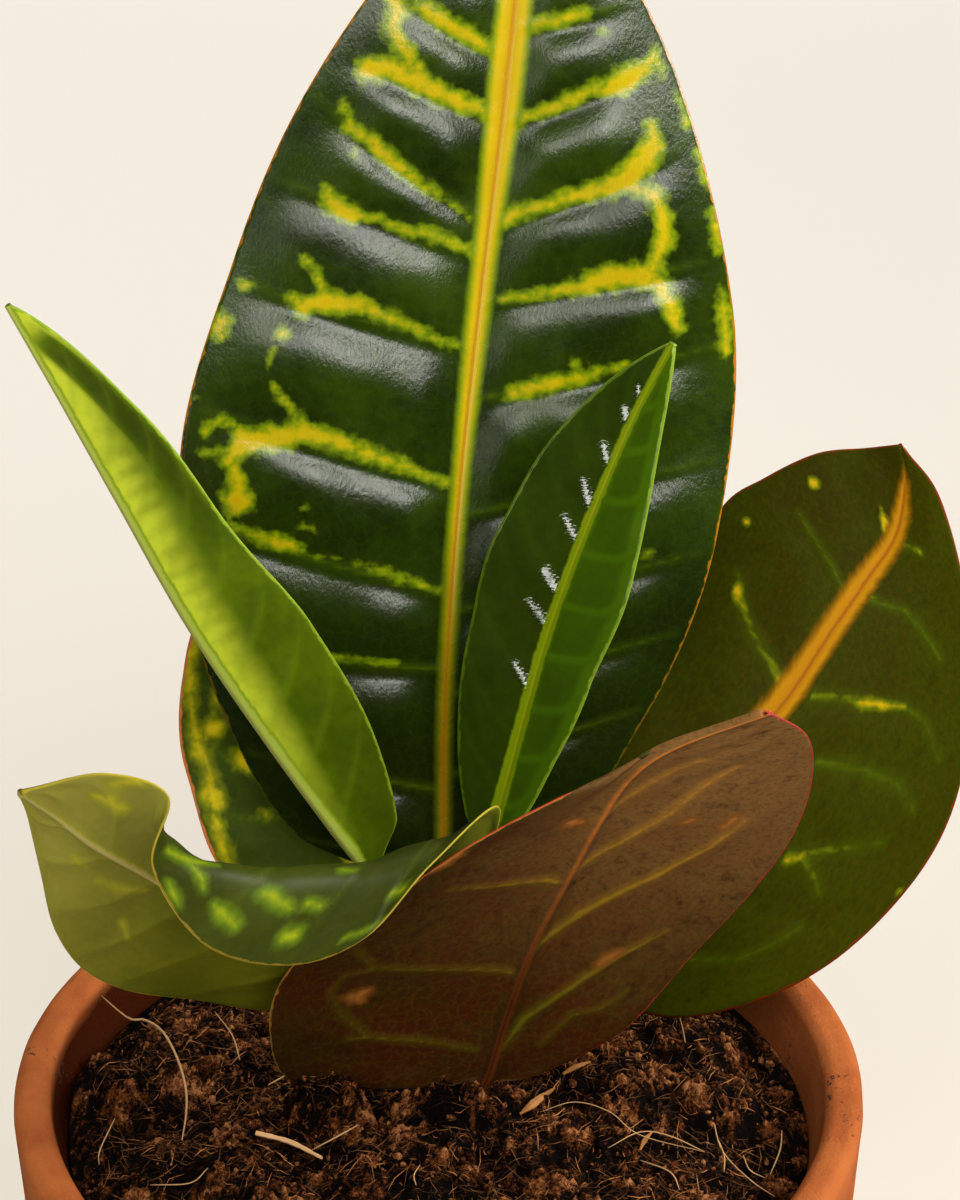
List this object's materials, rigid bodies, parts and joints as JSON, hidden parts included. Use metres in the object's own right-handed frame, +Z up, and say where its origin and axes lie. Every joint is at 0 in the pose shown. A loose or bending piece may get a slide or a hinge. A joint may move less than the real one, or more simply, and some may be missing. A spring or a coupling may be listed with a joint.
{
  "type": "potted croton",
  "caption": "Young croton houseplant with broad, veined, leathery leaves round a short stem, standing in peat in a small terracotta pot.",
  "frame": {"origin": "middle of the pot's underside", "axes": "+Z up along the pot's axis, -Y towards the side that the picture was taken from, +X to the right in the picture"},
  "size_m": [0.1116, 0.1, 0.2312],
  "materials": {
    "terracotta": "matt",
    "peat": "rough",
    "stem": "satin",
    "dark_leaf": "glossy",
    "bronze_leaf": "satin",
    "olive_leaf": "satin",
    "young_leaf": "glossy"
  },
  "bodies": {
    "root": {"pot": "terracotta", "soil": "peat", "stem": "stem", "leaf_tall": "dark_leaf", "leaf_behind": "dark_leaf", "leaf_right": "dark_leaf", "leaf_front": "bronze_leaf", "leaf_curled": "olive_leaf", "young_left": "young_leaf", "young_right": "young_leaf"}
  },
  "joints": []
}
